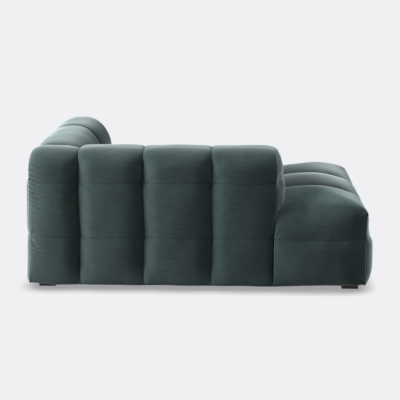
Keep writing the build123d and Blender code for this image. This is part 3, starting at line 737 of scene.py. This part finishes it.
armPieces = {
    "corner": {
        "span": (pattern["rearSeamY"], pattern["cornerSeamY"]),
        "path": cornerPath,
        "lining": [liningFoot, (liningInset, liningTop), (0.298, liningTop)],
        "low": grooveEdge(pinEnd=0.18), "high": cornerEdge(drop=0.024, dropReach=0.055),
        "wander": (1, 0), "under": underBack, "lean": 0.008,
    },
    "rear": {
        "span": (pattern["middleSeamY"], pattern["rearSeamY"]),
        "path": armPath, "lining": armLining,
        "low": grooveEdge(), "high": grooveEdge(inner=0.15), "wander": (1, 1),
    },
    "middle": {
        "span": (pattern["frontSeamY"], pattern["middleSeamY"]),
        "path": armPath, "lining": armLining,
        "low": grooveEdge(), "high": grooveEdge(), "wander": (1, 1),
    },
    "front": {
        "span": (pattern["armEndY"], pattern["frontSeamY"]),
        "path": armPath, "lining": armLining,
        "low": cornerEdge(groove=0.016, freeGroove=0.005, reach=0.045, free=(0.33, 0.43),
                          drop=0.010, dropReach=0.050),
        "high": grooveEdge(), "wander": (0, 1), "footShift": footShift,
    },
}
armShapes = {name: uprightChannel(piece, armPlace) for name, piece in armPieces.items()}

cornerPanel = closedEnd(armShapes["corner"][3]["high"], cornerPath, 0, (0, 1, 0),
                        uprightSwell(0.025, 0.055, [(height, 0.006) for height in seamHeights], 0.03, 0.6))
armEndPanel = closedEnd(armShapes["front"][3]["low"], armPath, 0.335, (0, -1, 0),
                        uprightSwell(0.044, 0.075, [(pattern["upperSeam"], 0.009)], 0.15, 0.30))

pads = []
for name, shape in armShapes.items():
    parts = [shape[:3]] + ([cornerPanel] if name == "corner" else [])
    pads.append((addMesh("armPad" + name.title(), *joined(parts)), ["arm_cover_" + name, "arm_pad_" + name]))
pads.append((addMesh("armEndPad", *armEndPanel), ["arm_cover_end"]))
print("arm sewn")


# back: two upright channels and a swelling end panel
backLining = [liningFoot, (liningInset, liningTop), (0.249, liningTop), (0.249, pattern["crevice"])]
backPieces = {
    "arm_side": {
        "span": (pattern["armFaceX"] - 0.004, pattern["rowSeamX"]),
        "path": backPath, "lining": backLining,
        "low": grooveEdge(inner=0.15, topCrown=0.002, topGroove=0.002, topReach=0.02, drop=0.017, dropReach=0.12),
        "high": grooveEdge(), "wander": (0, -1),
        "topShift": -0.150,   # its top edge reaches over the arm's corner
    },
    "open_side": {
        "span": (pattern["rowSeamX"], pattern["openSeamX"]),
        "path": backPath, "lining": backLining,
        "low": grooveEdge(), "high": cornerEdge(), "wander": (-1, 0),
    },
}
backShapes = {name: uprightChannel(piece, backPlace) for name, piece in backPieces.items()}
backEndPanel = closedEnd(backShapes["open_side"][3]["high"], backPath, 0, (1, 0, 0),
                         uprightSwell(0.028, 0.085, [(height, 0.010) for height in seamHeights], 0.05),
                         pattern["backFaceY"] + 0.0005)
for name, shape in backShapes.items():
    title = "backPad" + name.title().replace("_", "")
    pads.append((addMesh(title, *shape[:3]), ["back_cover_" + name, "back_pad_" + name]))
pads.append((addMesh("backEndPad", *backEndPanel), ["back_cover_end"]))
print("back sewn")


# seat: three rows, each a top that rolls over and a swelling front panel
seatSet = {
    "crest": 0.470,
    "edge": 0.400,      # height of the front edge
    "slope": 0.235,     # length over which the top rises from the front edge
    "backDrop": 0.008,
    "middleLift": 0.012,
    "crown": 0.030, "groove": 0.022, "reach": 0.055,
    "frontPull": (0.014, 0.004),   # reach and depth of the seam along the front edge
    "rollWidth": 0.200, "rollHeight": 0.195, "rollReach": 0.30,   # the ear opens into the roll over this length
    "earWidth": 0.008, "earHeight": 0.006,
    "earPoint": 0.011, "earReach": 0.016, "earPlace": (0.014, 0.006),   # the point lies this far in and down
    "crossY": -0.376, "crossDip": 0.030, "crossReach": 0.19, "crossLine": (0.05, 0.014),
    "lining": 0.305,    # height of the linings, over the core
    "frontHigh": 0.36,  # length of a front panel's sides, for its mesh
    "swell": (0.040, 0.018),   # of a front panel's lower and upper cell
}
# the outer side of a row: its cross seam, and how it rounds into the front above and below that
sideSet = {"line": 0.0022, "lineWidth": 0.007, "sag": 0.002, "sagReach": 0.10,
           "upper": 0.008, "upperReach": 0.10, "lower": 0.013, "lowerReach": 0.065}


def seatCrest(y, lift0=0.0):
    t = np.clip((y - pattern["frontSeatY"]) / seatSet["slope"], 0, 1)
    lift = np.sqrt(np.clip(1 - (1 - t) ** 2, 0, 1)) * 0.45 + (1 - (1 - t) ** 2) * 0.55
    back = smooth(-0.2, 0.5, y) * seatSet["backDrop"]
    return seatSet["edge"] + (seatSet["crest"] + lift0 - seatSet["edge"]) * lift - back


# the cushions in front of the arm end at a sewn line across the seat
def crossSeam(y):
    dist = np.abs(y - seatSet["crossY"])
    return drawnIn(dist, *seatSet["crossLine"]) + seatSet["crossDip"] * closeTo(dist, seatSet["crossReach"]) ** 2


# outline of an outer row across its width, from its groove over the roll to its hem
def outerRowLine(y, width, count, lift0):
    near = np.clip((y - pattern["frontSeatY"] + 0.010) / seatSet["rollReach"], 0, 1) ** 0.8
    crest = float(seatCrest(y, lift0))
    roll = seatSet["earWidth"] + (seatSet["rollWidth"] - seatSet["earWidth"]) * near
    drop = seatSet["earHeight"] + (seatSet["rollHeight"] - seatSet["earHeight"]) * near
    face = width - 0.010 * (1 - smooth(0, 0.08, y - pattern["frontSeatY"]))
    hem = pattern["hem"]
    points = [(0, crest)]
    points += arcPoints((face - roll, crest - drop), (roll, drop), 90, 0, 30)
    points += arcPoints((face - hemRoll[0], hem + hemRoll[1]), hemRoll, 0, -90, 14)
    points += [(face - 0.047, hem + 0.0015)]
    return resampled(points, count)


def rowSteps(y0, y1):
    stops = [y0, seatSet["crossY"], y1] if y1 > seatSet["crossY"] + 0.05 else [y0, y1]
    ys = [np.array([y0])]
    for a, b in zip(stops, stops[1:]):
        count = max(int(round((b - a) / pattern["grid"])), 8) + 1
        ys.append((a + (b - a) * (0.55 * np.linspace(0, 1, count) + 0.45 * packed(count)))[1:])
    return np.concatenate(ys)


# an outer row: its side is +1 for the open side, -1 for the arm side
def outerRow(row):
    side, width, s = row["side"], row["width"], sideSet
    ys = rowSteps(pattern["frontSeatY"], row["end"])
    yRear = ys[-1]
    cols = int(round((width + 0.42) / pattern["grid"])) + 1
    grid = np.zeros((len(ys), cols, 3))
    for r, y in enumerate(ys):
        line = outerRowLine(y, width, cols, row["lift"])
        normal = pathNormals(line)
        w, z = line[:, 0], line[:, 1]
        topShare = smooth(0.3, 0.9, normal[:, 1])
        sideShare = smooth(0.3, 0.9, normal[:, 0])
        inset = drawnIn(w, seatSet["reach"], seatSet["groove"])
        inset += seatSet["crown"] * closeTo(w, width * 0.42) ** 2 * topShare
        ahead = y - ys[0]
        inset = inset * (0.25 + 0.75 * smooth(0, 0.13, ahead))
        dist = np.abs(z - pattern["lowerSeam"])
        sewn = s["line"] * closeTo(dist, s["lineWidth"])
        inset += sideShare * (sewn + s["sag"] * closeTo(dist, s["sagReach"]) ** 2)
        above = smooth(-0.025, 0.035, z - pattern["lowerSeam"])
        inset += drawnIn(ahead, *seatSet["frontPull"]) * above
        inset += sideShare * above * s["upper"] * closeTo(ahead, s["upperReach"]) ** 2
        inset += sideShare * (1 - above) * s["lower"] * closeTo(ahead, s["lowerReach"]) ** 2
        offHem = smooth(0.03, 0.15, z)
        inset += crossSeam(y) * row["dip"] * (topShare + 0.30 * (1 - topShare)) * (0.35 + 0.65 * offHem)
        inset += drawnIn(yRear - y, 0.055, row["rearGroove"]) * (0.3 + 0.7 * offHem)
        inset = inset * (1 - 0.9 * smooth(0.2, 0.9, -normal[:, 1]))
        w = w - normal[:, 0] * inset
        z = z - normal[:, 1] * inset
        earIn, earDown = seatSet["earPlace"]
        away = (line[:, 0] - width + earIn) ** 2 + (line[:, 1] - seatSet["edge"] + earDown) ** 2 + ahead ** 2
        point = seatSet["earPoint"] * np.exp(-np.sqrt(away) / seatSet["earReach"])
        grid[r, :, 0] = row["seam"] + side * (w + 0.6 * point)
        grid[r, :, 1] = y - 0.6 * point
        grid[r, :, 2] = z + 0.7 * point
        if side < 0:   # low down, the arm-side row's rear end reaches back to the arm
            grid[r, :, 1] += footShift * smooth(-0.60, yRear, y) * lowDown(z)
        else:          # the open-side row's is tucked under the back
            grid[r, :, 1] += 0.007 * smooth(0.40, yRear, y) * (1 - smooth(0.15, 0.20, z))
    lining = resampled([(0.0, seatSet["lining"]), (width - 0.055, seatSet["lining"]),
                        (width - liningInset, hemFoot)], cols)
    # the mesh rows run across, so the lining's end lines lie at the front and the rear
    x, z = row["seam"] + side * lining[:, 0], lining[:, 1]
    front, rear = (np.stack(np.broadcast_arrays(x, y, z), axis=1)
                   for y in (grid[0, 0, 1] + panelSet["depth"], grid[-1, 0, 1] - 0.001))
    return grid, shellFromGrid(grid.transpose(1, 0, 2), front, rear)


def middleRow(x0, x1, yEnd):
    ys = rowSteps(pattern["frontSeatY"], yEnd)
    cols = int(round((x1 - x0) / pattern["grid"])) + 1
    v = 2 * packed(cols) - 1
    half = (x1 - x0) / 2
    dist = (1 - np.abs(v)) * half
    near = (1 - smooth(0, 0.13, ys - ys[0]))[:, None]
    inset = seatSet["crown"] * np.abs(v) ** 2 + drawnIn(dist, seatSet["reach"], seatSet["groove"])
    inset = inset[None, :] * (1 - 0.75 * near)
    z = seatCrest(ys, seatSet["middleLift"])[:, None] - inset
    z = z - drawnIn(ys - ys[0], *seatSet["frontPull"])[:, None]
    z = z - (drawnIn(yEnd - ys, 0.06, 0.03) + crossSeam(ys))[:, None]
    x = x0 + (x1 - x0) * (v + 1) / 2
    grid = np.stack(np.broadcast_arrays(x[None, :], ys[:, None], z), axis=-1)
    linings = [np.stack(np.broadcast_arrays(edge, ys + panelSet["depth"] * near[:, 0], seatSet["lining"]), axis=1)
               for edge in (x0 + 0.0006, x1 - 0.0006)]
    return grid, shellFromGrid(grid, *linings)


# swell of a seat front panel: a full lower cell, a flatter one under the edge
def seatSwell(lower, upper, edges):
    def swell(flat, dLeft, dRight, dBottom, dTop):
        z = flat[:, :, 2]
        sides = rise(dLeft, edges[0]) * rise(dRight, edges[1]) * rise(dBottom, 0.10)
        share = smooth(-0.035, 0.035, z - pattern["lowerSeam"])
        height = (lower * (1 - share) + upper * share * rise(dTop, 0.05)) * sides
        dist = np.abs(z - pattern["lowerSeam"])
        return height - drawnIn(dist, 0.04, 0.006) * np.minimum(1, sides * 2)
    return swell


# front panel under a row's edge line; its outer side is straight, or follows the line given
def frontPanel(edgeLine, width, reaches, outerLine=None):
    nV = int(round(seatSet["frontHigh"] / pattern["grid"])) + 1
    nH = int(round(width / pattern["grid"])) + 1
    top = resampled(edgeLine, nH)
    left = np.linspace((edgeLine[0][0], top[0][1], hemFoot), top[0], nV)
    if outerLine is None:
        right = np.linspace((edgeLine[-1][0], top[-1][1], hemFoot), top[-1], nV)
    else:
        right = resampled(outerLine, nV)
    bottom = np.linspace(left[0], right[0], nH)
    return endPanel(left, top, right, bottom, (0, -1, 0), seatSwell(*seatSet["swell"], reaches))


seatPieces = {
    "arm_side": {"seam": pattern["armFaceX"], "side": -1, "width": armThick, "end": pattern["armEndY"] - 0.001,
                 "rearGroove": 0.006, "lift": 0.019, "dip": 0.7},
    "open_side": {"seam": pattern["rowSeamX"], "side": 1, "width": pattern["openX"] - pattern["rowSeamX"],
                  "end": pattern["backFaceY"] - 0.001, "rearGroove": 0.03, "lift": -0.004, "dip": 1.0},
}
for name, row in seatPieces.items():
    grid, shell = outerRow(row)
    line = grid[0]
    corner = int(np.argmax((line[:, 0] - row["seam"]) * row["side"] + line[:, 2]))
    # the panel's outer side follows the row's own front edge down to the hem
    down = line[corner:]
    down = down[: int(np.argmax(down[:, 2] < hemFoot + 0.002)) or None].copy()
    down[-1, 2] = hemFoot
    panel = frontPanel(line[: corner + 1], row["width"], (0.055, 0.075), down[::-1])
    title = "seatPad" + name.title().replace("_", "")
    nodes = ["seat_cover_" + name, "seat_pad_" + name]
    pads.append((addMesh(title, *joined([shell, panel])), nodes))

grid, shell = middleRow(pattern["armFaceX"], pattern["rowSeamX"], pattern["backFaceY"] - 0.001)
panel = frontPanel(grid[0], pattern["rowSeamX"] - pattern["armFaceX"], (0.055, 0.055))
pads.append((addMesh("seatPadMiddle", *joined([shell, panel])),
             ["seat_cover_middle", "seat_pad_middle", "seat_core_foam"]))
print("seat sewn")

# where the seams gather the fabric: the seam's place, and the heights between which it shows
gatherSet = {
    "armPadCorner": [
        {"axis": 1, "at": pattern["cornerSeamY"], "pitch": 0.024, "slant": 90, "decay": 0.036, "size": 0.0046,
         "faces": (-1, 0, 0), "from": 0.16, "to": 0.66},
        {"axis": 1, "at": pattern["rearSeamY"], "pitch": 0.030, "slant": -40, "decay": 0.018, "size": 0.0010,
         "faces": (-1, 0, 0), "from": 0.05, "to": 0.66},
    ],
    "armEndPad": [
        {"axis": 0, "at": -0.49, "pitch": 0.024, "slant": 110, "decay": 0.080, "size": 0.0050,
         "faces": (0, -1, 0), "from": 0.36, "to": 0.68},
    ],
}
inflate([piece for piece, nodes in pads], inflateSet)
for piece, nodes in pads:
    piece.vertex_groups.clear()
    subdivided(piece)
    roughen(piece, touchSet, gatherSet.get(piece.name, ()))
    finishPad(piece, nodes, velvet)
print("pads finished", sum(len(p.data.polygons) for p, n in pads), "faces")


# woods, boards, metals and linings of the carried-over parts, each in two tones
finishSet = {
    "dark_wood": {"dark": (0.018, 0.010, 0.009), "pale": (0.048, 0.027, 0.023),
                  "grain": (2, 2, 26), "scale": 9, "rough": 0.42, "bump": 0.12},
    "frame_timber": {"dark": (0.50, 0.34, 0.19), "pale": (0.66, 0.48, 0.29),
                     "grain": (12, 1.2, 12), "scale": 6, "rough": 0.6, "bump": 0.15},
    "plywood": {"dark": (0.52, 0.38, 0.22), "pale": (0.68, 0.52, 0.33),
                "grain": (3, 1, 60), "scale": 6, "rough": 0.6, "bump": 0.12},
    "hardboard": {"dark": (0.16, 0.095, 0.05), "pale": (0.24, 0.15, 0.085), "scale": 160, "rough": 0.7, "bump": 0.2},
    "foam": {"dark": (0.70, 0.62, 0.40), "pale": (0.82, 0.75, 0.55), "scale": 400, "rough": 0.95, "bump": 0.4},
    "felt": {"dark": (0.16, 0.16, 0.17), "pale": (0.30, 0.30, 0.31), "scale": 300, "rough": 0.95, "bump": 0.4},
    "webbing": {"dark": (0.09, 0.07, 0.05), "pale": (0.26, 0.21, 0.15), "between": (0.4, 0.6),
                "scale": 350, "rough": 0.85, "bump": 0.3},
    "dust_cloth": {"dark": (0.010, 0.010, 0.011), "pale": (0.022, 0.022, 0.024), "between": (0.4, 0.65),
                   "scale": 500, "rough": 0.9, "bump": 0.3},
    "zinc_steel": {"dark": (0.48, 0.49, 0.50), "pale": (0.62, 0.63, 0.63),
                   "scale": 90, "rough": 0.35, "bump": 0.04, "metal": 1.0},
    "spring_steel": {"dark": (0.20, 0.20, 0.21), "pale": (0.32, 0.32, 0.33),
                     "scale": 90, "rough": 0.4, "bump": 0.04, "metal": 1.0},
    "brass": {"dark": (0.56, 0.40, 0.14), "pale": (0.70, 0.52, 0.22),
              "scale": 90, "rough": 0.35, "bump": 0.04, "metal": 1.0},
    "glide_plastic": {"dark": (0.012, 0.012, 0.013), "pale": (0.026, 0.026, 0.028), "between": (0.4, 0.65),
                      "scale": 250, "rough": 0.5, "bump": 0.1},
}


def makeFinish(name, s):
    mat, nodes, links, shader = newMaterial(name)
    where = nodes.new("ShaderNodeTexCoord")
    figure = noise(nodes, links, scaled(nodes, links, where, s.get("grain", (1, 1, 1))), s["scale"], 4.0, 0.6)
    low, high = s.get("between", (0.35, 0.7))
    stops = ((low, (*s["dark"], 1)), (high, (*s["pale"], 1)))
    links.new(ramp(nodes, links, figure, stops), shader.inputs["Base Color"])
    shader.inputs["Roughness"].default_value = s["rough"]
    shader.inputs["Metallic"].default_value = s.get("metal", 0.0)
    bumped(nodes, links, shader, figure, s["bump"], 0.001)
    return mat


finishes = {name: makeFinish(name, s) for name, s in finishSet.items()}
for part in frame["record"]["subparts"]:
    if part["material_slot"] in finishes:
        node = frame["nodes"][part["node"]]
        node.data.materials.clear()
        node.data.materials.append(finishes[part["material_slot"]])


# floor and backdrop: one pale tone to the camera, with a painted shadow close under the object, darker where ambient
# occlusion is
floorSet = {
    "size": 30.0,
    "pale": (0.871, 0.871, 0.888, 1),
    # the painted shadow's darkest tone, close under the object
    "under": (0.36, 0.36, 0.37, 1),
    "bounce": (0.28, 0.28, 0.28, 1),
    "reach": 0.07,   # how far the painted shadow spreads
}


def paleToCamera(tree, lit, pale):
    nodes, links = tree.nodes, tree.links
    path = nodes.new("ShaderNodeLightPath")
    seen = path.outputs["Is Camera Ray"]
    for ray in ("Is Glossy Ray", "Is Transmission Ray"):
        seen = maths(nodes, links, "MAXIMUM", seen, path.outputs[ray])
    mix = nodes.new("ShaderNodeMixShader")
    links.new(seen, mix.inputs["Fac"])
    links.new(lit, mix.inputs[1])
    links.new(pale, mix.inputs[2])
    return mix.outputs[0]


bpy.ops.object.select_all(action="DESELECT")
bpy.ops.mesh.primitive_plane_add(size=floorSet["size"], location=(0, 0, 0))
floor = bpy.context.active_object
floor.name = "studioFloor"
mat, nodes, links, shader = newMaterial("studioFloor")
shader.inputs["Base Color"].default_value = floorSet["bounce"]
shader.inputs["Roughness"].default_value = 0.9
# painted shadow: the floor's colour to the camera darkens with ambient occlusion close under the object
near = nodes.new("ShaderNodeAmbientOcclusion")
near.samples = 16
near.inputs["Distance"].default_value = floorSet["reach"]
paleWithPaintedShadow = nodes.new("ShaderNodeEmission")
links.new(ramp(nodes, links, near.outputs["AO"], ((0.25, floorSet["under"]), (0.96, floorSet["pale"]))),
          paleWithPaintedShadow.inputs["Color"])
links.new(paleToCamera(mat.node_tree, shader.outputs["BSDF"], paleWithPaintedShadow.outputs["Emission"]),
          nodes["Material Output"].inputs["Surface"])
floor.data.materials.append(mat)

# the studio: a pale wall behind, open and dim towards the camera
studioSet = {"tone": (0.97, 1.0, 1.0, 1), "front": 0.0, "behind": 0.28}
world = bpy.data.worlds.new("studio")
scene.world = world
world.use_nodes = True
nodes, links = world.node_tree.nodes, world.node_tree.links
aim = nodes.new("ShaderNodeTexCoord")
axes = nodes.new("ShaderNodeSeparateXYZ")
links.new(aim.outputs["Generated"], axes.inputs[0])
level = spread(nodes, links, axes.outputs["X"], 0.0, 0.6, studioSet["front"], studioSet["behind"])
nodes["Background"].inputs["Color"].default_value = studioSet["tone"]
links.new(level, nodes["Background"].inputs["Strength"])
backdrop = nodes.new("ShaderNodeBackground")
backdrop.inputs["Color"].default_value = floorSet["pale"]
links.new(paleToCamera(world.node_tree, nodes["Background"].outputs[0], backdrop.outputs[0]),
          nodes["World Output"].inputs["Surface"])


# lamps: place, aim, width in metres and watts
lampSet = {
    "keyLamp": ((-1.5, 3.4, 1.9), (-0.4, 0, 0.35), 1.5, 99),
    "highLamp": ((-0.8, 3.2, 3.2), (-0.3, 0, 0.4), 1.5, 84),
    "fillLamp": ((-0.6, -1.6, 3.2), (-0.3, -0.6, 0.4), 1.5, 37),
    "rimLamp": ((0.5, -3.4, 0.5), (0.0, -0.8, 0.25), 1.0, 42),
    "backLamp": ((-0.9, 3.8, 0.7), (-0.4, 0.8, 0.35), 1.0, 52),
}
for name, (place, target, width, watts) in lampSet.items():
    data = bpy.data.lights.new(name, "AREA")
    data.shape = "RECTANGLE"
    data.size = data.size_y = width
    data.energy = watts
    lamp = bpy.data.objects.new(name, data)
    scene.collection.objects.link(lamp)
    lamp.location = place
    lamp.rotation_euler = (Vector(target) - Vector(place)).to_track_quat("-Z", "Y").to_euler()
print("floor, world and lamps set")
